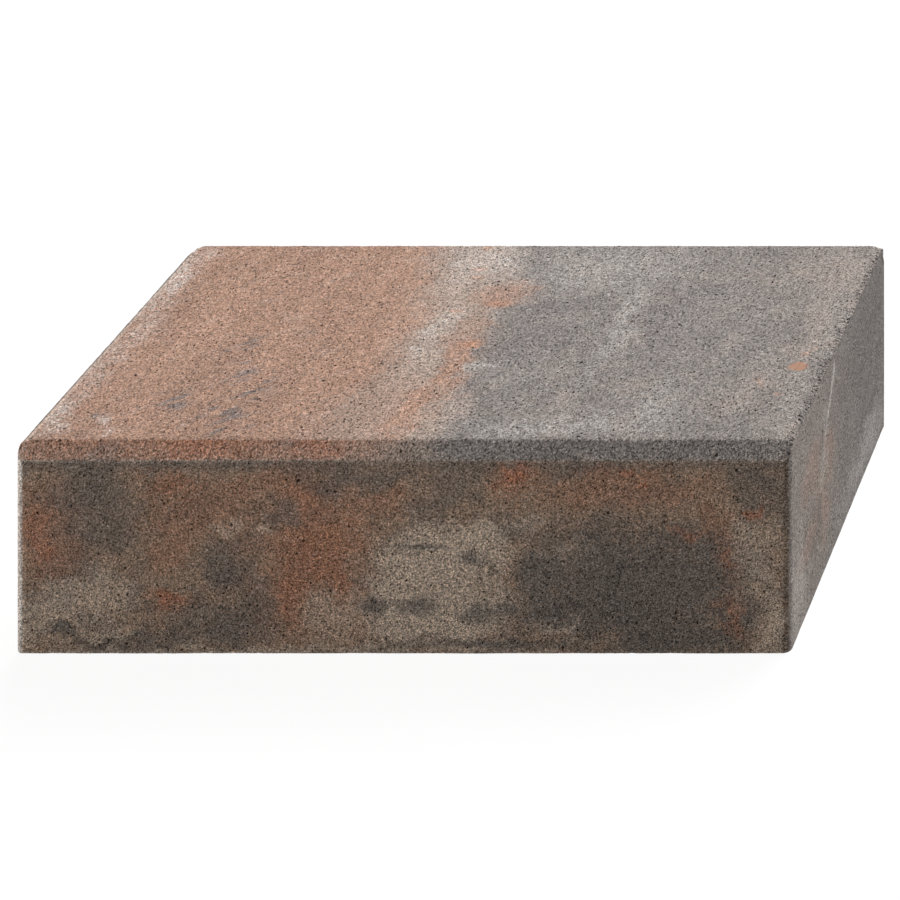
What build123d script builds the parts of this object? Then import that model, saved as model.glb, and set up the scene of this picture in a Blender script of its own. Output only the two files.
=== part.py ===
from build123d import *
import os

# A concrete block step: one solid cast block, laid as one riser of a garden stair.
# X runs along the step, Y from its front face to its back face, and Z is up.
# The origin is on the ground, under the middle of the block.

# Overall size of the casting, in millimetres
block_length = 750.0
tread_depth = 400.0
riser_height = 200.0

# 45 degree chamfers along the two long edges of the tread
front_edge_chamfer = 13.0
back_edge_chamfer = 13.0

# Low, wide bevel along each short edge of the tread
end_bevel_width = 9.0
end_bevel_drop = 3.0

# Rounding of the four upright corners
upright_corner_radius = 8.0


def cut_corner_outline(low_corner, high_corner, low_side_cut, high_side_cut):
    """A rectangle whose two upper corners are cut off, each by its own (width, drop)."""
    low_x, low_y = low_corner
    high_x, high_y = high_corner
    low_width, low_drop = low_side_cut
    high_width, high_drop = high_side_cut
    outline = Polyline(
        (low_x, low_y),
        (high_x, low_y),
        (high_x, high_y - high_drop),
        (high_x - high_width, high_y),
        (low_x + low_width, high_y),
        (low_x, high_y - low_drop),
        close=True,
    )
    return make_face(outline)


def section_across_the_step():
    """Seen from the end: the chamfers at the front and the back of the tread."""
    section = cut_corner_outline(
        (-tread_depth / 2, 0),
        (tread_depth / 2, riser_height),
        (front_edge_chamfer, front_edge_chamfer),
        (back_edge_chamfer, back_edge_chamfer),
    )
    return extrude(Plane.YZ * section, block_length / 2, both=True)


def section_along_the_step():
    """Seen from the front: the low bevels at the two ends of the tread."""
    section = cut_corner_outline(
        (-block_length / 2, 0),
        (block_length / 2, riser_height),
        (end_bevel_width, end_bevel_drop),
        (end_bevel_width, end_bevel_drop),
    )
    return extrude(Plane.XZ * section, tread_depth / 2, both=True)


def plan_of_the_step():
    """Seen from above: a rectangle with its four corners rounded."""
    outline = RectangleRounded(block_length, tread_depth, upright_corner_radius)
    return extrude(outline, riser_height)


def block_step():
    """The casting is what the plan and the two sections have in common."""
    return plan_of_the_step() & section_across_the_step() & section_along_the_step()


block = block_step()
block.label = "block_step"

os.makedirs("parts", exist_ok=True)
export_step(block, "parts/block_step.step")

box = block.bounding_box()
print("block_step solids", len(block.solids()))
print("size mm", round(box.size.X, 3), round(box.size.Y, 3), round(box.size.Z, 3))
print("volume litres", round(block.volume / 1e6, 4))
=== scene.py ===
import math
import random

import bpy
import numpy as np
from mathutils import Matrix, Vector, kdtree, noise
from mathutils.geometry import delaunay_2d_cdt


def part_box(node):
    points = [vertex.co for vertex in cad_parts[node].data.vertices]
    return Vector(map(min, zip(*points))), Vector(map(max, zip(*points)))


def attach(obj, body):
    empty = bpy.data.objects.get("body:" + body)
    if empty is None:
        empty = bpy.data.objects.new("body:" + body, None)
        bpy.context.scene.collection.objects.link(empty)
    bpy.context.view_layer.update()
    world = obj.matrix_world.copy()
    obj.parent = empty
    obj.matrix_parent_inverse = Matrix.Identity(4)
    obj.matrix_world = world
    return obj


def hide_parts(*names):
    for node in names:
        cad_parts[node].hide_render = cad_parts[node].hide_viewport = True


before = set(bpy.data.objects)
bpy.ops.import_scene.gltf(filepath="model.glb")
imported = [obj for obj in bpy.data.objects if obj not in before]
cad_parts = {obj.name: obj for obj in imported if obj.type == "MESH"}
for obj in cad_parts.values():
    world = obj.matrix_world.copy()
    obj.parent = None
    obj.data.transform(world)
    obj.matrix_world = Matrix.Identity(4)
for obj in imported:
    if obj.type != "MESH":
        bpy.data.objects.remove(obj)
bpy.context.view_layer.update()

# The casting's sizes in millimetres. X runs along the step, Y from front to back, Z is up
metre = 1000
block_low, block_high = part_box("block_step")
length, depth, height = (metre * (high - low) for low, high in zip(block_low, block_high))
half_length, half_depth = length / 2, depth / 2
long_edge_chamfer = 13.0
end_bevel_width = 9.0
end_bevel_drop = 3.0
corner_radius = 8.0
half_corner = corner_radius * math.pi / 4
side_run = height - long_edge_chamfer
chamfer_line = half_depth - long_edge_chamfer
bevel_line = half_length - end_bevel_width

# How finely the casting's skin is laid out, in millimetres, and how many steps its curves and walls take
edge_spacing = 2.7
edge_row = 1.3
second_row = 3.6
bevel_spacing = 3.4
chamfer_spacing = 5.0
open_spacing = 7.5
foot_spacing = 12.0
open_margin = 5
wall_margin = 8
foot_margin = 6
corner_steps = 4
wall_steps = 34

# Open pores, in millimetres. Most are small, one in twenty may be large, and they come in clouds
pore_margin = 2.6
pore_cell = 7.0
pore_cloud = 38
smallest_pore = 0.7
pore_spread = 0.65
large_share = 0.05
large_growth = 0.8
wall_pores = (1150, 480, 850, 430)
tread_pores = 2200
foot_pores = 120

# The broken arrises of the end bevels reach this far in from the ends and down from the tread
end_arris_width = 4
end_arris_drop = 8


def srgb(red, green, blue):
    """A colour given as it looks on a screen, from 0 to 255, as the linear colour that shaders take."""
    parts = [part / 255 for part in (red, green, blue)]
    linear = [p / 12.92 if p < 0.04045 else ((p + 0.055) / 1.055) ** 2.4 for p in parts]
    return (*linear, 1.0)


# The casting's skin: one closed mesh with open pores, worn arrises and a slightly uneven surface


def tread_height(x, y):
    """Height of the chamfered and bevelled top at a place of the plan."""
    front = side_run + (y + half_depth)
    back = side_run + (half_depth - y)
    ends = height - end_bevel_drop + (half_length - np.abs(x)) * end_bevel_drop / end_bevel_width
    return np.minimum(np.minimum(height, ends), np.minimum(front, back))


def outline_strips():
    """The plan's outline as four strips, each from the middle of one round corner to the next one's.

    A strip is its points' distances along it and their places, anticlockwise from the front left."""
    x_centre, y_centre = half_length - corner_radius, half_depth - corner_radius
    corners = [
        (-x_centre, -y_centre, 225),
        (x_centre, -y_centre, 315),
        (x_centre, y_centre, 45),
        (-x_centre, y_centre, 135),
    ]

    def around(x, y, turn):
        """The place on a round corner in the direction of turn from its centre."""
        angle = math.radians(turn)
        return (x + corner_radius * math.cos(angle), y + corner_radius * math.sin(angle))

    strips = []
    for k, (x0, y0, turn0) in enumerate(corners):
        x1, y1, turn1 = corners[(k + 1) % len(corners)]
        run = math.hypot(x1 - x0, y1 - y0)
        along, places = [], []
        for step in range(corner_steps):
            along.append(half_corner * step / corner_steps)
            places.append(around(x0, y0, turn0 + 45 * step / corner_steps))
        shift_x, shift_y = around(0, 0, turn0 + 45)
        count = round(run / edge_spacing)
        for step in range(count + 1):
            share = step / count
            along.append(half_corner + run * share)
            places.append((x0 + shift_x + (x1 - x0) * share, y0 + shift_y + (y1 - y0) * share))
        for step in range(1, corner_steps + 1):
            along.append(half_corner + run + half_corner * step / corner_steps)
            places.append(around(x1, y1, turn1 - 45 + 45 * step / corner_steps))
        strips.append((np.array(along), np.array(places)))
    return strips


class Skin:
    """Gathers the points and triangles of the casting's faces into one closed mesh."""

    def __init__(self):
        self.points, self.sink, self.pore = [], [], []
        self.faces, self.sheet = [], []

    def add(self, place, sink=0.0, pore=0.0):
        self.points.append(place)
        self.sink.append(sink)
        self.pore.append(pore)
        return len(self.points) - 1

    def face(self, rim, rim_ids, open_places, pores, place, sheet_corner, turned=False, flip=False):
        """Triangulates one face from the flat places of its rim, which other faces share, and its inside.

        place turns flat places into points of the solid, and sheet_corner is where the face's own zero
        lies on the sheet."""
        rings, pored = pores
        inner = [(x, y, 0.0, 0.0) for x, y in open_places] + pored
        flat = [Vector(p) for p in rim] + [Vector(p[:2]) for p in inner]
        first = len(rim) + len(open_places)
        edges = [(first + a, first + b) for a, b in rings]
        ids = list(rim_ids)
        xyz = place(np.array([p[0] for p in inner]), np.array([p[1] for p in inner]))
        for spot, (_, _, sink, pore) in zip(np.stack(xyz, 1).tolist(), inner):
            ids.append(self.add(spot, sink, pore))
        whole_hull, nearest = 0, 1e-5
        _, _, triangles, source, _, _ = delaunay_2d_cdt(flat, edges, [], whole_hull, nearest, True)
        corner_x, corner_y = sheet_corner
        for triangle in triangles:
            corners = [source[k][0] for k in triangle]
            if flip:
                corners.reverse()
            self.faces.append([ids[k] for k in corners])
            for k in corners:
                x, y = flat[k]
                x, y = (y, x) if turned else (x, y)
                self.sheet.append(((corner_x + x) / sheet_size, (corner_y + y) / sheet_size))


def open_pores(low, high, count, chance):
    """Places for open pores on a flat face, (x, y, radius), none of which touch."""
    kept, cells = [], {}
    tries, scatter, bare_below, apart, wall = count * 6, 0.9, 0.28, 1.3, 0.5
    for _ in range(tries):
        if len(kept) == count:
            break
        radius = smallest_pore + pore_spread * chance.random() ** 2
        if chance.random() < large_share:
            radius += large_growth * chance.random()
        x = chance.uniform(low[0] + pore_margin, high[0] - pore_margin)
        y = chance.uniform(low[1] + pore_margin, high[1] - pore_margin)
        cloud = noise.noise(Vector((x / pore_cloud, y / pore_cloud, 7.0)))
        if cloud + scatter * chance.random() < bare_below:
            continue
        column, row = int(x // pore_cell), int(y // pore_cell)
        near = [p for i in (-1, 0, 1) for j in (-1, 0, 1) for p in cells.get((column + i, row + j), ())]
        if any(math.hypot(x - px, y - py) < apart * (radius + other) + wall for px, py, other in near):
            continue
        kept.append((x, y, radius))
        cells.setdefault((column, row), []).append((x, y, radius))
    return kept


def pore_points(pores, chance):
    """A ragged rim, a steep wall and a floor for each pore.

    Gives the edges of the rings and the points, each as (x, y, sink, how far inside)."""
    rings, points = [], []
    wide_pore, few_sides, more_sides = 1.3, 6, 9
    for x, y, radius in pores:
        sides = few_sides if radius < wide_pore else more_sides
        bottom = radius * chance.uniform(0.8, 1.3)
        turn, lean = chance.uniform(0, math.tau), chance.uniform(0, math.pi)
        stretch = chance.uniform(0.9, 1.12)
        rim, wall = (1.0, 0.0, 0.0), (0.64, 0.8 * bottom, 0.85)
        for share, sink, pore in (rim, wall):
            first = len(points)
            for k in range(sides):
                angle = turn + math.tau * (k + (0.5 if pore else 0)) / sides
                reach = radius * share * chance.uniform(0.9, 1.08)
                dx, dy = reach * math.cos(angle) * stretch, reach * math.sin(angle) / stretch
                rx = dx * math.cos(lean) - dy * math.sin(lean)
                ry = dx * math.sin(lean) + dy * math.cos(lean)
                points.append((x + rx, y + ry, sink, pore))
                rings.append((first + k, first + (k + 1) % sides))
        points.append((x + 0.15 * radius, y - 0.1 * radius, bottom, 1.0))
    return rings, points


def clear_of(pores, places):
    """The places that lie outside every pore, with a small gap."""
    reach, spread, gap = 4.5, 1.25, 0.7
    tree = kdtree.KDTree(len(pores))
    for k, (x, y, _) in enumerate(pores):
        tree.insert((x, y, 0), k)
    tree.balance()
    free = []
    for x, y in places:
        if all(away > spread * pores[k][2] + gap for _, k, away in tree.find_range((x, y, 0), reach)):
            free.append((x, y))
    return free


def even_places(low, high, spacing, chance):
    """Points all over a rectangle, in a loose triangular grid."""
    places = []
    row_height, shift, stray = spacing * 0.866, 0.25, 0.2
    rows = max(1, round((high[1] - low[1]) / row_height))
    columns = max(1, round((high[0] - low[0]) / spacing))
    for j in range(rows + 1):
        for i in range(columns + 1):
            x = low[0] + (high[0] - low[0]) * (i + (shift if j % 2 else -shift)) / columns
            y = low[1] + (high[1] - low[1]) * j / rows
            x += chance.uniform(-stray, stray) * spacing
            y += chance.uniform(-stray, stray) * spacing
            places.append((min(max(x, low[0]), high[0]), min(max(y, low[1]), high[1])))
    return places


# The flat sheet that the skin is laid out on, in millimetres, and where each face's lower left corner lies
sheet_size = 1330.0
sheet_gap = 15.0
sheet_foot = (20.0, 20.0)
sheet_tread = (20.0, 455.0)
sheet_front = (20.0, 890.0)
sheet_back = (20.0, 1115.0)
sheet_right = (805.0, 20.0)
sheet_left = (805.0, 455.0)


def beside_line(line_end, spacing, trimmed=False):
    """Three rows of places along a straight edge of the tread, each as its distance along and aside.

    Trimmed rows stop short of the edges that they meet."""
    count = round(2 * line_end / spacing)
    for aside in (-edge_row, 0, edge_row):
        half_step = 0.5 if aside else 0
        first, stop = (1, count - 1) if trimmed else (0, count + 1 - bool(aside))
        for n in range(first, stop):
            yield -line_end + 2 * line_end * (n + half_step) / count, aside


def add_walls(skin, strips, starts, lower, upper, chance):
    """The four upright sides, from the foot's outline up to the chamfers and end bevels."""
    total = starts[-1]

    # upright rows of points down the middle of each round corner, shared by the two walls that meet there
    inner_run = side_run - 2 * edge_spacing
    levels = [edge_spacing + inner_run * k / wall_steps for k in range(wall_steps + 1)]
    levels = [edge_row] + levels + [side_run - edge_row]
    columns = []
    for _, places in strips:
        x, y = places[0]
        top = float(tread_height(x, y))
        columns.append([skin.add((x, y, top * level / side_run)) for level in levels])

    corners = (sheet_front, sheet_right, sheet_back, sheet_left)
    for k, (along, places) in enumerate(strips):
        first, last = starts[k], starts[k] + len(along) - 1
        ring = [n % total for n in range(first, last + 1)]
        width = float(along[-1])
        rim = [(s, 0.0) for s in along]
        rim_ids = [lower[n] for n in ring]
        rim += [(width, level) for level in levels]
        rim_ids += columns[(k + 1) % len(columns)]
        rim += [(s, side_run) for s in reversed(along)]
        rim_ids += [upper[n] for n in reversed(ring)]
        rim += [(0.0, level) for level in reversed(levels)]
        rim_ids += list(reversed(columns[k]))

        pores = open_pores((half_corner, 0), (width - half_corner, side_run), wall_pores[k], chance)
        middle = (along[1:-1] + along[:-2]) / 2
        rows = [(s, edge_row) for s in middle] + [(s, side_run - edge_row) for s in middle]
        sparse = along[6:-6:2]
        rows += [(s, second_row) for s in sparse] + [(s, side_run - second_row) for s in sparse]
        for s in (*along[1:5], *along[-5:-1]):
            rows += [(s, level) for level in levels[1:-1]]
        low = (half_corner + open_margin, wall_margin)
        high = (width - half_corner - open_margin, side_run - wall_margin)
        free = clear_of(pores, rows + even_places(low, high, open_spacing, chance))

        def wall_place(s, level, along=along, places=places):
            x, y = np.interp(s, along, places[:, 0]), np.interp(s, along, places[:, 1])
            return x, y, tread_height(x, y) * level / side_run

        turned = corners[k] in (sheet_right, sheet_left)
        skin.face(rim, rim_ids, free, pore_points(pores, chance), wall_place, corners[k], turned)


def add_tread(skin, plan, upper, inner_row, chance):
    """The tread with its chamfers and end bevels."""
    pores = open_pores((-half_length, -half_depth), (half_length, half_depth), tread_pores, chance)
    rows = list(inner_row)
    for y in (-chamfer_line, chamfer_line):
        rows += [(x, y + aside) for x, aside in beside_line(bevel_line, edge_spacing)]
    for x in (-bevel_line, bevel_line):
        rows += [(x + aside, y) for y, aside in beside_line(chamfer_line, bevel_spacing, True)]
    mitre_places = (0.5, 1.0, 1.5, 2.0, 2.5)
    mitre_slope = end_bevel_width / end_bevel_drop
    for side in (-1, 1):
        for end in (-1, 1):
            for down in mitre_places:
                rows.append((end * (bevel_line + mitre_slope * down), side * (chamfer_line + down)))
    low = (-bevel_line + open_margin, -chamfer_line + open_margin)
    high = (bevel_line - open_margin, chamfer_line - open_margin)
    open_part = even_places(low, high, open_spacing, chance)
    along_chamfer = np.arange(-bevel_line, bevel_line, chamfer_spacing)
    for side in (-1, 1):
        open_part += [(x, side * (chamfer_line + long_edge_chamfer / 2)) for x in along_chamfer]
    middle = (sheet_tread[0] + half_length, sheet_tread[1] + half_depth)
    free = clear_of(pores, rows + open_part)

    def tread_place(x, y):
        return x, y, tread_height(x, y)

    skin.face(plan.tolist(), upper, free, pore_points(pores, chance), tread_place, middle)


def add_foot(skin, plan, lower, inner_row, chance):
    """The flat bed face."""
    pores = open_pores((-half_length, -half_depth), (half_length, half_depth), foot_pores, chance)
    low = (-half_length + foot_margin, -half_depth + foot_margin)
    high = (half_length - foot_margin, half_depth - foot_margin)
    open_part = inner_row + even_places(low, high, foot_spacing, chance)
    middle = (sheet_foot[0] + half_length, sheet_foot[1] + half_depth)
    free = clear_of(pores, open_part)

    def foot_place(x, y):
        return x, y, 0 * x

    skin.face(plan.tolist(), lower, free, pore_points(pores, chance), foot_place, middle, flip=True)


def cast_skin():
    """The whole casting as one closed skin."""
    skin = Skin()
    chance = random.Random(20)
    strips = outline_strips()
    upper, lower = [], []
    for along, places in strips:
        for x, y in places[:-1]:
            upper.append(skin.add((x, y, float(tread_height(x, y)))))
            lower.append(skin.add((x, y, 0.0)))
    starts = np.cumsum([0] + [len(along) - 1 for along, _ in strips])
    plan = np.concatenate([places[:-1] for _, places in strips])
    add_walls(skin, strips, starts, lower, upper, chance)

    # a row of points beside the arris: the outline drawn in by a little
    scale = np.array([(half_length - edge_row) / half_length, (half_depth - edge_row) / half_depth])
    inner_row = [tuple(p * scale) for p in (plan + np.roll(plan, -1, 0)) / 2]
    add_tread(skin, plan, upper, inner_row, chance)
    add_foot(skin, plan, lower, inner_row, chance)
    return skin


def unevenness(x, y, z):
    """How far the cast surface lies below the mould's own flat face."""
    place = Vector((x, y, z))
    slow = 0.5 + noise.noise(place / 85)
    quick = 0.5 + noise.noise(place / 21 + Vector((5, 1, 8)))
    slow_depth, quick_depth = 0.12, 0.10
    return slow_depth * max(slow, 0) + quick_depth * max(quick, 0)


def arris_wear(x, y, z):
    """How far an arris is rubbed back: a little all along it, and small bites here and there.

    The outer arrises of the two end bevels are the most broken, and the foot's the least."""
    place = Vector((x, y, z))
    steady = 0.24 + 0.2 * noise.noise(place / 30)
    crumbly = abs(noise.noise(place / 3.1 + Vector((3, 9, 2))))
    bite = max(0.0, noise.noise(place / 7.5 + Vector((11, 4, 6))) - 0.32)
    end_bevel_share, foot_share, other_share, least = 1.0, 0.3, 0.55, 0.05
    share = foot_share if z < 5 else other_share
    if abs(x) > half_length - end_arris_width and z > height - end_arris_drop:
        share = end_bevel_share
    return max(least, steady + share * (0.8 * crumbly + 3.2 * bite))


def corner_rub(x, y, z):
    """How far the two back corners of the tread are rubbed down."""
    deepest, reach = 2.3, 12
    if y <= 0 or z <= height - 20:
        return 0.0
    away = math.hypot(half_length - abs(x), chamfer_line - y)
    return deepest * max(0.0, 1 - away / reach)


def corner_normals(points, faces):
    """The mean of the normals of the triangles around each point. It is short where they differ."""
    a, b, c = (points[faces[:, k]] for k in range(3))
    normals = np.cross(b - a, c - a)
    never_zero = 1e-12
    normals /= np.maximum(np.linalg.norm(normals, axis=1, keepdims=True), never_zero)
    mean = np.zeros_like(points)
    count = np.zeros(len(points))
    for k in range(3):
        np.add.at(mean, faces[:, k], normals)
        np.add.at(count, faces[:, k], 1)
    return mean / count[:, None]


def edge_marks(points, faces, crease):
    """How much pale wear and how much crumbling each point has, 0 to 1: pale rubbed arrises, and the
    tread's broken ones. The pale wear also stands in for a painted highlight on the lit left corner and
    along the right front curve.
    """
    x, y, z = points.T
    x_past = np.abs(x) - (half_length - corner_radius)
    y_past = np.abs(y) - (half_depth - corner_radius)
    past_corner = np.minimum(x_past, y_past) / (0.7 * corner_radius)
    arris = np.maximum(np.clip(crease, 0, 1), np.clip(past_corner, 0, 1))
    near = np.zeros(len(points))
    np.maximum.at(near, faces.ravel(), np.repeat(arris[faces].max(1), 3))
    arris = np.maximum(arris, 0.4 * near)
    end_arris = (z > height - end_arris_drop) & (np.abs(x) > half_length - end_arris_width)
    tread_line = (z > height - 2.5) & ~end_arris
    dull_corner = (x > bevel_line) & (y < 0)
    right_front = dull_corner & (y < corner_radius - half_depth + 1) & (z > side_run - 2)
    # The pale wear fades from the left end to the right and is held back on the right end's front half:
    # partly wear, partly a painted highlight on the lit left corner, leaving the right corner dark with its
    # shade
    fading = np.interp(x, (-260, 120), (0.9, 0.45))
    wear_and_highlight = arris * ~(end_arris | tread_line) * fading * (1 - 0.7 * dull_corner)
    # Along the top of the right front curve a pale line: partly wear, partly a painted highlight
    wear_and_highlight = np.where(right_front, 0.8 * (crease > 0.3), wear_and_highlight)
    broken = np.interp(y, (-half_depth + 20, -half_depth + 110), (0.35, 0.85))
    crumbled = arris * (broken * end_arris + 0.25 * tread_line) * ~right_front
    return wear_and_highlight, crumbled


def make_block():
    """Builds the casting's mesh from its skin, and sinks its pores, worn arrises and hollows inwards."""
    skin = cast_skin()
    points = np.array(skin.points)
    faces = np.array(skin.faces)
    mean = corner_normals(points, faces)
    full_crease, least_crease = math.pi / 4, 0.2
    crease = np.arccos(np.clip(np.linalg.norm(mean, axis=1), 0, 1)) / full_crease
    crease[crease < least_crease] = 0
    outward = mean / np.linalg.norm(mean, axis=1, keepdims=True)
    inward = np.array([
        unevenness(*p) + sink + corner_rub(*p) + (arris_wear(*p) * sharp if sharp else 0)
        for p, sink, sharp in zip(points.tolist(), skin.sink, crease.tolist())
    ])
    bed = points[:, 2] < 0.01
    inward[bed & (crease == 0)] *= 0.5
    points -= outward * inward[:, None]

    mesh = bpy.data.meshes.new("block_step_cast")
    mesh.from_pydata((points / metre).tolist(), [], faces.tolist())
    mesh.polygons.foreach_set("use_smooth", [True] * len(faces))
    mesh.set_sharp_from_angle(angle=math.radians(38))
    layout = mesh.uv_layers.new(name="OFBake")
    layout.uv.foreach_set("vector", np.array(skin.sheet, dtype=np.float32).ravel())
    wear_and_highlight, crumbled = edge_marks(points, faces, crease)
    for name, values in (("pore", skin.pore), ("wear_and_highlight", wear_and_highlight), ("crumbled", crumbled)):
        layer = mesh.attributes.new(name, "FLOAT", "POINT")
        layer.data.foreach_set("value", np.array(values, dtype=np.float32))
    mesh.validate()
    block = bpy.data.objects.new("block_step_cast", mesh)
    bpy.context.scene.collection.objects.link(block)
    return block


# Materials


class Tone:
    """A value or colour that changes over a surface, held as a node's socket. Sums add Math nodes."""

    def __init__(self, finish, socket):
        self.finish, self.socket = finish, socket

    def math(self, operation, first, second):
        return self.finish.node("ShaderNodeMath", {"operation": operation}, {0: first, 1: second})

    def __add__(self, other):
        return self.math("ADD", self, other)

    def __radd__(self, other):
        return self.math("ADD", other, self)

    def __sub__(self, other):
        return self.math("SUBTRACT", self, other)

    def __rsub__(self, other):
        return self.math("SUBTRACT", other, self)

    def __mul__(self, other):
        return self.math("MULTIPLY", self, other)

    def __rmul__(self, other):
        return self.math("MULTIPLY", other, self)

    def __gt__(self, other):
        return self.math("GREATER_THAN", self, other)

    def __lt__(self, other):
        return self.math("LESS_THAN", self, other)


class Finish:
    """The nodes of a material or world. node() adds any of them, its settings first, then its sockets."""

    def __init__(self, owner):
        owner.use_nodes = True
        self.owner, self.tree = owner, owner.node_tree
        self.tree.nodes.clear()

    def node(self, kind, settings={}, inputs={}, output=0):
        made = self.tree.nodes.new(kind)
        for name, value in settings.items():
            setattr(made, name, value)
        for name, value in inputs.items():
            if isinstance(value, Tone):
                self.tree.links.new(value.socket, made.inputs[name])
            else:
                made.inputs[name].default_value = value
        if isinstance(output, tuple):
            return [Tone(self, made.outputs[name]) for name in output]
        return Tone(self, made.outputs[output]) if made.outputs else None

    def blend(self, share, first, second):
        """first where share is 0 and second where it is 1."""
        return self.node("ShaderNodeMix", {"data_type": "RGBA"}, {0: share, 6: first, 7: second}, 2)

    def vector(self, operation, first, second=(0, 0, 0), third=(0, 0, 0)):
        return self.node("ShaderNodeVectorMath", {"operation": operation}, {0: first, 1: second, 2: third})

    def scaled(self, colour, amount):
        return self.node("ShaderNodeVectorMath", {"operation": "SCALE"}, {0: colour, 3: amount})

    def grain(self, size, stretch=(1, 1, 1), detail=2.0, rough=0.5, shift=0.0, turn=0, output=0):
        """Soft noise with features of about size millimetres, drawn out along the axes that stretch names.

        turn leans the drawn out axis to the right on the tread, in degrees."""
        place = self.place
        if turn:
            turned = {"Vector": place, "Angle": math.radians(turn)}
            place = self.node("ShaderNodeVectorRotate", {"rotation_type": "Z_AXIS"}, turned)
        steps = tuple(metre / (size * s) for s in stretch)
        where = self.vector("MULTIPLY_ADD", place, steps, (shift, shift, shift))
        spread = {"Vector": where, "Scale": 1.0, "Detail": detail, "Roughness": rough}
        return self.node("ShaderNodeTexNoise", {}, spread, output)

    def step(self, value, low, high):
        """0 below low, 1 above high, and a smooth rise between. With low above high it falls instead."""
        smooth = {"interpolation_type": "SMOOTHSTEP"}
        return self.node("ShaderNodeMapRange", smooth, {0: value, 1: low, 2: high})

    def patches(self, corner, spots, soft, turned=False, outline="ragged"):
        """1 inside the oval spots of a face, fading out over their ragged, wavy or calm outlines.

        A spot is its place from the face's lower left corner, its half width and its half height, in
        millimetres. The two ends lie turned on the sheet."""
        sheet, grainy = self.outlines[outline]
        nearest = None
        for x, y, half_width, half_height in spots:
            if turned:
                x, y, half_width, half_height = y, x, half_height, half_width
            steps = (1 / half_width, 1 / half_height, 0)
            back = (-(corner[0] + x) / half_width, -(corner[1] + y) / half_height, 0)
            offset = self.vector("MULTIPLY_ADD", sheet, steps, back)
            away = self.node("ShaderNodeVectorMath", {"operation": "LENGTH"}, {0: offset}, 1)
            nearest = away if nearest is None else nearest.math("MINIMUM", nearest, away)
        return self.step(nearest + grainy * self.mixing, 1 + soft / 2, 1 - soft / 2)

    def daub(self, colour, paint, share, corner, spots, soft, turned=False, outline="ragged"):
        """A paint laid over a colour inside a face's spots, as thick as share says."""
        return self.blend(share * self.patches(corner, spots, soft, turned, outline), colour, paint)


# Colours of the concrete, as they look under a plain light of strength 1
terracotta = srgb(175, 139, 119)
rust = srgb(180, 124, 94)
bright_rust = srgb(200, 128, 94)
fired_orange = srgb(196, 143, 114)
sand = srgb(176, 160, 149)
pale_sand = srgb(206, 186, 166)
worn_sand = srgb(226, 212, 199)
lime_bloom = srgb(222, 217, 212)
ash_grey = srgb(143, 137, 133)
slate_violet = srgb(126, 120, 120)
anthracite = srgb(115, 107, 100)
soot_grey = srgb(104, 99, 95)
earth_brown = srgb(166, 140, 119)
pore_shadow = srgb(62, 48, 42)
end_grey = srgb(142, 137, 133)
end_shade = srgb(127, 121, 118)
clay_spot = srgb(190, 142, 114)


def tread_bands(f, face, across, from_front, streak):
    """Bands from front to back: terracotta on the left, sand in the middle and grey on the right."""
    left, front = face
    colour = f.blend(0.25 * f.step(streak, 0.5, 0.66), terracotta, sand)

    # the sand begins further left near the back and the front, and the grey leans with the bands
    near_back = f.step(from_front, front + 250, front + 370)
    near_front = f.step(from_front, front + 130, front + 20)
    sand_edge = across + 36 * near_back + f.mixing * 60 + 26 * near_front
    colour = f.blend(0.9 * f.step(sand_edge, left + 274, left + 334), colour, sand)
    clay = [(366, 205, 20, 40), (330, 60, 34, 60), (290, 30, 50, 36), (372, 110, 20, 50)]
    colour = f.daub(colour, terracotta, 0.5, face, clay, 1.0)
    grey_mix = f.blend(0.3 * f.step(f.cloud, 0.5, 0.68), ash_grey, sand)
    grey_mix = f.blend(0.25 * f.step(f.cloud, 0.46, 0.32), grey_mix, slate_violet)
    grey_edge = across + 46 * f.step(from_front, front, front + 400) + f.mixing * 40
    return f.blend(f.step(grey_edge, left + 384, left + 432), colour, grey_mix)


def tread_shades(f, face, colour, from_front, streak):
    """Slate streaks in the bands, and lighter and darker parts."""
    front = face[1]
    band = f.grain(26, (1, 6, 1), 2, 0.5, 3.0, turn=4)
    left_streaks = [
        (143, 183, 18, 15), (172, 55, 22, 15), (163, 36, 20, 10), (190, 30, 14, 10), (152, 150, 14, 10),
        (176, 112, 20, 22), (97, 52, 12, 9), (49, 56, 8, 8), (120, 84, 16, 14), (205, 130, 12, 12),
        (156, 96, 22, 16),
    ]
    streaked = 0.72 * f.patches(face, left_streaks, 1.0) * f.step(streak, 0.49, 0.6)
    colour = f.blend(streaked, colour, slate_violet)
    dark_grey = [
        (440, 262, 30, 18), (456, 200, 20, 24), (407, 113, 16, 30), (420, 190, 34, 40),
        (560, 230, 22, 70),
    ]
    colour = f.daub(colour, slate_violet, 0.5, face, dark_grey, 1.0)
    towards_back = f.step(from_front, front + long_edge_chamfer, front + 260)
    dusky = f.patches(face, [(150, 100, 44, 60)], 1.6)
    fresh = f.patches(face, [(240, 300, 40, 90)], 1.6)
    light = 1.02 + 0.07 * towards_back - 0.13 * f.step(band, 0.66, 0.34) - 0.07 * dusky + 0.04 * fresh
    return f.scaled(colour, light)


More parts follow.
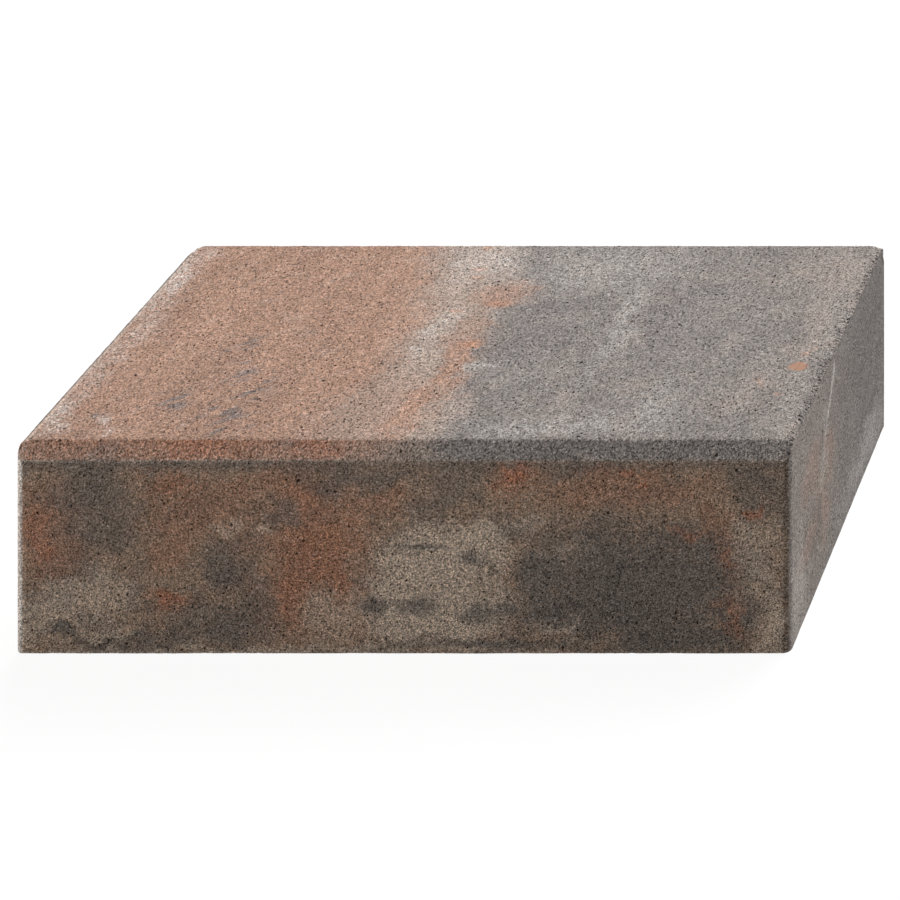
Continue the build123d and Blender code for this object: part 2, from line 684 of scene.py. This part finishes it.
def tread_spots(f, face, colour):
    """Orange spots where the bands meet and at the right end, and a little sand over the grey."""
    orange = [(376, 284, 30, 24), (372, 150, 14, 40), (360, 60, 16, 40)]
    colour = f.daub(colour, fired_orange, 0.4, face, orange, 0.9)
    spots = [
        (374, 266, 17, 7), (329, 336, 9, 5), (332, 319, 7, 4), (335, 251, 7, 4), (321, 381, 5, 5),
        (374, 186, 12, 7),
    ]
    colour = f.daub(colour, fired_orange, 0.55, face, spots, 1.2, outline="calm")
    blush = [(727, 166, 8, 7), (690, 112, 5, 4), (715, 93, 4, 5)]
    colour = f.daub(colour, fired_orange, 0.5, face, blush, 1.4)
    sandy = [(704, 330, 50, 60), (716, 220, 18, 60), (680, 100, 20, 40)]
    colour = f.daub(colour, sand, 0.3, face, sandy, 1.4)
    rim = [(724, 260, 22, 170), (730, 60, 16, 80)]
    return f.daub(colour, worn_sand, 0.12, face, rim, 1.5)


def tread_bloom(f, face, colour):
    """Flaky lime bloom, mostly along the left end and where the bands meet."""
    flakes = f.step(f.flecks, 0.36, 0.64)
    strong_bloom = [
        (12, 330, 16, 52), (21, 50, 11, 27), (69, 50, 6, 9), (85, 30, 9, 7), (348, 352, 22, 36),
        (404, 150, 15, 8), (521, 264, 9, 7), (322, 175, 8, 6),
    ]
    faint_bloom = [
        (514, 237, 14, 110), (529, 37, 40, 18), (470, 33, 36, 16), (330, 230, 14, 30),
        (470, 340, 80, 50), (600, 60, 20, 50), (310, 350, 24, 40), (18, 200, 16, 160),
    ]
    colour = f.blend(0.62 * f.patches(face, strong_bloom, 1.2) * flakes, colour, lime_bloom)
    return f.blend(0.4 * f.patches(face, faint_bloom, 1.3) * flakes, colour, lime_bloom)


def tread_edges(f, face, colour, across, x, from_front):
    """The end bevels, pale on the left with a painted shade line at the outer arris and broken on the right
    with dark crumbs of painted shade, and the front chamfer, darkened as painted shade.
    """
    left, front = face
    right = left + length
    chamfer_top = front + long_edge_chamfer
    chamfer = f.step(from_front, chamfer_top + 0.5, chamfer_top - 0.5)
    fired = f.step(across, left + 400, left + 300)
    left_bevel = f.step(x, left + end_bevel_width, left + end_bevel_width - 3)
    left_rim = f.step(x, left + 3.4, left + 2.0)
    right_bevel = f.step(x, right - end_bevel_width + 1, right - 3)
    teeth = f.grain(2.7, (2, 1, 1), 2, 0.6, shift=53.0)
    colour = f.blend(0.4 * left_bevel, colour, worn_sand)
    # a dark line along the left outer arris: painted shade
    colour = f.blend(0.8 * left_rim, colour, pore_shadow)
    # dark teeth along the right bevel's outer arris: painted shade in the broken-out hollows
    colour = f.blend(right_bevel * f.step(teeth, 0.46, 0.41), colour, f.scaled(colour, 0.12))
    colour = f.blend(0.45 * chamfer * fired, colour, rust)
    glow = [(172, 7, 34, 12), (290, 7, 24, 12)]
    colour = f.blend(0.35 * chamfer * f.patches(face, glow, 1.2), colour, bright_rust)
    cool = [(86, 6, 16, 8), (264, 8, 12, 8)]
    colour = f.blend(0.4 * chamfer * f.patches(face, cool, 1.2), colour, slate_violet)
    # the chamfer darkened: painted shade of its forward slope, deeper on the right part
    return f.blend(chamfer, colour, f.scaled(colour, 0.76 + 0.17 * fired))


def tread_colours(f, across, x, from_front):
    """The whole top face. across is x with the wandering that the ragged outlines have."""
    face = sheet_tread
    streak = f.grain(8, (1, 4.5, 1), 3, 0.62, turn=47)
    colour = tread_bands(f, face, across, from_front, streak)
    colour = tread_shades(f, face, colour, from_front, streak)
    colour = tread_spots(f, face, colour)
    colour = tread_bloom(f, face, colour)
    return tread_edges(f, face, colour, across, x, from_front)


def wall_clouds(f):
    """Brown concrete clouded with anthracite."""
    return f.blend(0.55 * f.step(f.cloud, 0.42, 0.62), earth_brown, anthracite)


def dragged(f, colour, share):
    """A wall's colour with the fine upright streaks that the mould leaves."""
    return f.scaled(colour, 1 - share / 2 + share * f.drag)


def riser_colours(f, x, height_up):
    """Clouds of rust, anthracite and sand over brown, with a band of painted shade under the chamfer."""
    face = sheet_front
    colour = wall_clouds(f)
    brown_red = [
        (284, 100, 60, 84), (290, 40, 56, 26), (26, 116, 44, 44), (186, 134, 66, 24), (684, 96, 18, 40),
        (588, 158, 84, 18), (347, 146, 34, 14), (672, 126, 18, 12), (248, 158, 30, 18),
        (158, 102, 26, 24), (196, 150, 40, 18), (20, 150, 18, 22),
    ]
    colour = f.daub(colour, rust, 0.4, face, brown_red, 0.9)
    beige = [
        (408, 92, 68, 34), (404, 44, 74, 24), (400, 24, 62, 12), (366, 60, 20, 26), (520, 26, 24, 8),
        (450, 118, 24, 14),
    ]
    colour = f.daub(colour, pale_sand, 0.9, face, beige, 0.8)
    pale = [(66, 56, 44, 20), (30, 36, 34, 20), (12, 20, 10, 16), (82, 24, 28, 7), (734, 22, 9, 30)]
    colour = f.daub(colour, pale_sand, 0.6, face, pale, 1.0)
    faint = [
        (727, 40, 14, 30), (206, 122, 10, 8), (238, 117, 10, 5), (540, 92, 34, 12), (488, 128, 20, 8),
        (712, 96, 26, 34), (300, 5, 300, 4), (300, 40, 26, 30),
    ]
    colour = f.daub(colour, pale_sand, 0.5, face, faint, 1.0)
    red = [
        (22, 116, 10, 30), (146, 165, 27, 11), (298, 104, 34, 34), (266, 66, 18, 36),
        (280, 160, 18, 14), (147, 43, 25, 12), (480, 168, 18, 13), (316, 78, 12, 24),
    ]
    colour = f.daub(colour, rust, 0.6, face, red, 1.2)
    bright = [
        (686, 36, 11, 15), (684, 88, 7, 10), (482, 172, 9, 7), (590, 168, 10, 6), (648, 118, 12, 6),
        (709, 141, 6, 8), (145, 44, 16, 7),
    ]
    colour = f.daub(colour, bright_rust, 0.5, face, bright, 0.9)
    dark = [(604, 66, 88, 58), (510, 78, 24, 24), (640, 18, 60, 18), (38, 20, 15, 8)]
    colour = f.daub(colour, anthracite, 0.9, face, dark, 0.8)
    soot = [
        (712, 168, 26, 13), (92, 134, 40, 27), (62, 158, 40, 16), (207, 84, 20, 22), (205, 32, 50, 20),
        (120, 14, 52, 8), (478, 123, 20, 8), (708, 45, 12, 14), (322, 168, 58, 11), (432, 170, 30, 13),
        (250, 132, 32, 10),
    ]
    colour = f.daub(colour, anthracite, 0.55, face, soot, 0.9)
    lenses = [
        (392, 104, 22, 3), (441, 92, 11, 7), (345, 47, 15, 8), (387, 46, 17, 8), (446, 38, 19, 9),
        (474, 42, 14, 6), (512, 38, 30, 14), (460, 9, 70, 4),
    ]
    colour = f.daub(colour, soot_grey, 0.75, face, lenses, 1.4, outline="wavy")
    left, foot = face
    # a band of painted shade just under the chamfer
    shade_under_chamfer = f.step(height_up + f.mixing * 10, foot + 172, foot + 184)
    colour = f.blend(0.5 * shade_under_chamfer, colour, anthracite)
    colour = f.scaled(colour, 1 - 0.08 * f.step(x, left + 460, left + 560))
    # the left rounded corner made pale: partly wear, partly a painted highlight where the left light
    # catches it
    left_arris = f.step(x, left + 7, left + 4)
    colour = f.blend(0.65 * left_arris, colour, lime_bloom)
    return dragged(f, colour, 0.48)


def back_colours(f):
    """The hidden riser, in the same clouds as the front."""
    face = sheet_back
    colour = wall_clouds(f)
    red = [
        (560, 120, 90, 34), (700, 90, 30, 60), (430, 60, 40, 40), (250, 150, 60, 18), (80, 60, 24, 34),
    ]
    colour = f.daub(colour, rust, 0.65, face, red, 0.9)
    beige = [
        (330, 70, 80, 42), (520, 36, 60, 16), (640, 30, 40, 12), (60, 130, 40, 26), (180, 24, 60, 12),
    ]
    colour = f.daub(colour, pale_sand, 0.8, face, beige, 0.8)
    dark = [
        (170, 90, 70, 50), (330, 46, 18, 7), (300, 92, 12, 8), (440, 128, 40, 22), (600, 70, 26, 18),
        (380, 12, 90, 7),
    ]
    colour = f.daub(colour, anthracite, 0.8, face, dark, 0.8)
    return dragged(f, colour, 0.48)


def right_end_colours(f, from_front):
    """The seen end: smooth warm grey, with a narrow lime run and faint brown clouds."""
    face = sheet_right
    colour = f.blend(0.6 * f.step(f.cloud, 0.4, 0.65), end_grey, end_shade)
    shaded = [(190, 140, 34, 26), (90, 60, 40, 24), (300, 140, 80, 34)]
    colour = f.daub(colour, end_shade, 0.5, face, shaded, 1.4, True)
    brown = [
        (80, 120, 30, 22), (150, 104, 22, 22), (110, 88, 20, 12), (128, 60, 16, 30), (60, 60, 40, 14),
    ]
    colour = f.daub(colour, terracotta, 0.42, face, brown, 1.5, True)
    stain = [(100, 46, 18, 11), (60, 74, 10, 8), (106, 64, 8, 20)]
    colour = f.daub(colour, anthracite, 0.6, face, stain, 1.2, True)
    pale = [(30, 40, 26, 46), (134, 122, 9, 28), (122, 96, 9, 20), (300, 24, 90, 16)]
    colour = f.daub(colour, lime_bloom, 0.3, face, pale, 1.4, True)
    run = [(170 - 4 * k, 174 - 5.2 * k, 3, 7 - 0.5 * k) for k in range(7)]
    colour = f.daub(colour, lime_bloom, 0.75, face, run, 1.2, True, "calm")
    away = f.step(from_front, face[1] + 60, face[1] + 340)
    colour = f.blend(0.25 - 0.25 * away, colour, sand)
    return f.scaled(colour, (0.89 + 0.28 * f.drag) * (1 - 0.07 * away))


def left_end_colours(f):
    """The hidden end, in the terracotta and brown of its side of the tread."""
    face = sheet_left
    colour = f.blend(f.step(f.cloud, 0.4, 0.62), srgb(156, 131, 115), srgb(132, 121, 113))
    red = [(120, 130, 60, 30), (300, 100, 50, 44), (210, 40, 40, 18)]
    colour = f.daub(colour, rust, 0.5, face, red, 1.1, True)
    bare = [(60, 50, 34, 24), (250, 150, 30, 16), (360, 40, 26, 20)]
    colour = f.daub(colour, sand, 0.5, face, bare, 1.1, True)
    return dragged(f, colour, 0.28)


def foot_colours(f):
    """The bed face: plain grey brown, blotched where the wet mix met the board."""
    return f.blend(f.step(f.cloud, 0.38, 0.64), srgb(146, 134, 124), srgb(122, 112, 105))


def wandering(f, places, noise_colour, x_reach, y_reach):
    """Places on the sheet, moved about by up to half of the two reaches, in millimetres."""
    half_back = (-x_reach / 2, -y_reach / 2, 0)
    return f.vector("ADD", places, f.vector("MULTIPLY_ADD", noise_colour, (x_reach, y_reach, 0), half_back))


def prepare_outlines(f):
    """Makes the noise that every face shares, and gives the places on the sheet: ragged x, x and y.

    Each kind of outline is its own wandering of the sheet, and how far two colours mix grain by grain."""
    f.place = f.node("ShaderNodeTexCoord", {}, {}, "Object")
    layout = f.node("ShaderNodeUVMap", {"uv_map": "OFBake"})
    sheet = f.scaled(layout, sheet_size)
    slow = wandering(f, sheet, f.grain(44, detail=1, output=1), 44, 44)
    ragged = wandering(f, slow, f.grain(15, detail=3, rough=0.66, output=1), 40, 40)
    wavy = wandering(f, sheet, f.grain(13, detail=3, rough=0.7, output=1, shift=3.0), 26, 20)
    calm = wandering(f, sheet, f.grain(7, output=1, shift=3.0), 5, 5)
    f.flecks = f.grain(3.2, detail=2, rough=0.7, shift=31.0)
    f.mixing = 1.5 * f.flecks - 0.75
    f.outlines = {"ragged": (ragged, 1.0), "wavy": (wavy, 0.8), "calm": (calm, 0.0)}
    f.cloud = f.grain(34, (1, 0.9, 0.8), 2, 0.6, 9.0)
    f.drag = f.grain(2.2, (1, 1, 7), 1, 0.5, 5.0)
    across = f.node("ShaderNodeSeparateXYZ", {}, {0: ragged}, "X")
    x, y = f.node("ShaderNodeSeparateXYZ", {}, {0: sheet}, ("X", "Y"))
    return across, x, y


def rubbed(f, colour):
    """Rubbed arrises show pale sand, in places also a painted highlight, and the tread's outer ones have
    crumbs broken out of them, dark with painted shade.
    """
    wear_and_highlight = f.node("ShaderNodeAttribute", {"attribute_name": "wear_and_highlight"}, {}, "Fac")
    crumbled = f.node("ShaderNodeAttribute", {"attribute_name": "crumbled"}, {}, "Fac")
    crumbs = f.grain(2.6, detail=1, shift=41.0)
    colour = f.blend(wear_and_highlight * f.step(crumbs, 0.36, 0.52), colour, worn_sand)
    # dark crumbs: painted shade in the broken-out hollows
    colour = f.blend(0.9 * crumbled * f.step(crumbs, 0.56, 0.47), colour, pore_shadow)
    return f.blend(0.7 * crumbled * f.step(crumbs, 0.58, 0.66), colour, lime_bloom)


def grained(f, colour, x, y, ends_side):
    """Sand grains, each its own tone, with pits between them darkened as painted shade, pale flecks and a
    few coloured ones.
    """
    above_chamfer = y > sheet_tread[1] + long_edge_chamfer
    on_tread = above_chamfer * (y < sheet_front[1] - sheet_gap) * (x < sheet_right[0] - sheet_gap)
    wall_relief, tread_smoother, ends_smoother = 0.76, 0.24, 0.3
    relief = wall_relief - tread_smoother * on_tread - ends_smoother * ends_side

    soft = f.grain(5.5, detail=2, rough=0.6, shift=7.0)
    speck = f.grain(1.15, detail=1, shift=17.0)
    hole = f.grain(2.3, (1, 1.5, 1), 1, shift=71.0) - 0.05 * on_tread
    splinter = f.grain(1.7, (1, 2.6, 1), 1, shift=61.0, turn=70)
    pit = f.step(speck, 0.36, 0.28)
    pale = f.step(splinter, 0.61, 0.69)

    grain_sizes = (0.9, 1.4, 0.95)
    grains = f.vector("MULTIPLY", f.place, tuple(metre / size for size in grain_sizes))
    hue = f.node("ShaderNodeTexVoronoi", {}, {"Vector": grains, "Scale": 1.0}, "Color")
    shade, tint, odd = f.node("ShaderNodeSeparateXYZ", {}, {0: hue}, ("X", "Y", "Z"))
    colour = f.blend(0.12 * f.step(tint, 0.70, 0.95), colour, ash_grey)
    colour = f.blend(0.09 * f.step(tint, 0.30, 0.05), colour, rust)
    uneven = relief * (0.4 * soft + 1.95 * shade - 1.175)
    bright = f.step(odd, 0.89, 0.92)
    # The pits, the holes and the darkest grains are made darker: painted shade inside them
    colour = f.scaled(colour, (0.99 + uneven) * (1 - 0.55 * pit + 0.4 * pale + 0.5 * bright))
    colour = f.scaled(colour, 1 - 0.8 * f.step(hole, 0.33, 0.27) - 0.6 * f.step(odd, 0.08, 0.05))
    colour = f.blend(0.5 * pale * f.step(tint, 0.3, 0.6), colour, f.blend(0.5, lime_bloom, colour))
    colour = f.blend(0.25 * f.step(odd, 0.95, 0.97), colour, worn_sand)
    bump = 0.5 * soft + 1.1 * speck - 0.5 * pit + 0.2 * pale
    rough = 0.84 + 0.12 * soft + 0.06 * pit
    return colour, bump, rough


def mottled_concrete():
    """Cast concrete of several coloured mixes, with lime bloom, pale sand grains and fine dark pores."""
    f = Finish(bpy.data.materials.new("mottled_concrete"))
    across, x, y = prepare_outlines(f)
    upper = y > sheet_tread[1] - sheet_gap
    ends_side = x > sheet_right[0] - sheet_gap
    walls = f.blend(y > sheet_back[1] - sheet_gap, riser_colours(f, x, y), back_colours(f))
    flats = f.blend(upper, foot_colours(f), tread_colours(f, across, x, y))
    ends = f.blend(upper, right_end_colours(f, y), left_end_colours(f))
    colour = f.blend(y > sheet_front[1] - sheet_gap, flats, walls)
    colour = rubbed(f, f.blend(ends_side, colour, ends))
    colour, bump, rough = grained(f, colour, x, y, ends_side)

    # the one clay spot near the right end, and the shade inside the open pores
    clay_place = [(720.5, 144, 9.6, 7.8)]
    colour = f.daub(colour, clay_spot, 0.8, sheet_tread, clay_place, 0.5, outline="calm")
    pore = f.node("ShaderNodeAttribute", {"attribute_name": "pore"}, {}, "Fac")
    colour = f.blend(0.85 * pore, colour, pore_shadow)

    shape = f.node("ShaderNodeBump", {}, {"Strength": 0.8, "Distance": 0.0006, "Height": bump})
    finish = {"Base Color": colour, "Roughness": rough, "Normal": shape, "Specular IOR Level": 0.3}
    shader = f.node("ShaderNodeBsdfPrincipled", {}, finish)
    f.node("ShaderNodeOutputMaterial", {}, {"Surface": shader})
    return f.owner


block = make_block()
block.data.materials.append(mottled_concrete())
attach(block, "root")
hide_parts("block_step")


# Floor, light and camera


def grey(level):
    """A plain grey, or white at 1."""
    return (level, level, level, 1)


def pale_floor():
    """A plain floor that shows white, keeps the block's soft shadow and throws little light back."""
    f = Finish(bpy.data.materials.new("pale_floor"))
    glow, shadow_depth, thrown_back = 0.92, 0.12, 0.25
    seen = f.node("ShaderNodeLightPath", {}, {}, "Is Camera Ray")
    white = f.node("ShaderNodeEmission", {}, {"Color": grey(1), "Strength": glow})
    lit = f.node("ShaderNodeBsdfDiffuse", {}, {"Color": grey(shadow_depth)})
    shown = f.node("ShaderNodeAddShader", {}, {0: white, 1: lit})
    dull = f.node("ShaderNodeBsdfDiffuse", {}, {"Color": grey(thrown_back)})
    both = f.node("ShaderNodeMixShader", {}, {0: seen, 1: dull, 2: shown})
    f.node("ShaderNodeOutputMaterial", {}, {"Surface": both})
    return f.owner


floor_mesh = bpy.data.meshes.new("floor")
reach = 40.0
just_under = 0.0002
square = [(-reach, -reach, 0), (reach, -reach, 0), (reach, reach, 0), (-reach, reach, 0)]
floor_mesh.from_pydata(square, [], [(0, 1, 2, 3)])
floor = bpy.data.objects.new("floor", floor_mesh)
floor.location.z = -just_under
bpy.context.scene.collection.objects.link(floor)
floor_mesh.materials.append(pale_floor())


def soft_light(name, strength, comes_from, spread):
    """A broad light. At strength 1 a surface that faces it shows its colour as written."""
    data = bpy.data.lights.new(name, "SUN")
    data.energy = math.pi * strength
    data.angle = math.radians(spread)
    light = bpy.data.objects.new(name, data)
    light.rotation_mode = "QUATERNION"
    light.rotation_quaternion = Vector(comes_from).to_track_quat("Z", "Y")
    bpy.context.scene.collection.objects.link(light)


soft_light("top_light", 0.76, (0.10, 0.62, 0.78), 50)
soft_light("left_light", 0.95, (-0.95, -0.29, 0.10), 30)
soft_light("right_light", 0.49, (0.80, 0.55, 0.25), 40)


def pale_studio():
    """A white room that throws only a little light from all sides."""
    f = Finish(bpy.data.worlds.new("studio"))
    seen = f.node("ShaderNodeLightPath", {}, {}, "Is Camera Ray")
    strength = 0.2 + 0.8 * seen
    room = f.node("ShaderNodeBackground", {}, {"Color": grey(1), "Strength": strength})
    f.node("ShaderNodeOutputWorld", {}, {"Surface": room})
    return f.owner


bpy.context.scene.world = pale_studio()

# The photograph is an oblique view: its picture plane is parallel to the block's front face, so that face
# keeps its right angles, while the line of sight comes down from the right. The camera's own X and Z stay
# level and upright, and its line of sight leans from the eye to the point in the middle of the picture.
eye = Vector((1.168, -3.245, 1.926))
picture_middle = Vector((0.046, -0.200, 0.197))
sight = (eye - picture_middle).normalized()
camera_data = bpy.data.cameras.new("camera")
camera_data.sensor_width = 36.0
camera_data.lens = 152.2
camera = bpy.data.objects.new("camera", camera_data)
stand = bpy.data.objects.new("camera_stand", None)
bpy.context.scene.collection.objects.link(stand)
bpy.context.scene.collection.objects.link(camera)
camera.parent = stand
camera.matrix_parent_inverse = Matrix((
    (1, 0, sight.x, eye.x),
    (0, 0, sight.y, eye.y),
    (0, 1, sight.z, eye.z),
    (0, 0, 0, 1),
))
bpy.context.scene.camera = camera

bpy.context.scene.view_settings.view_transform = "Standard"
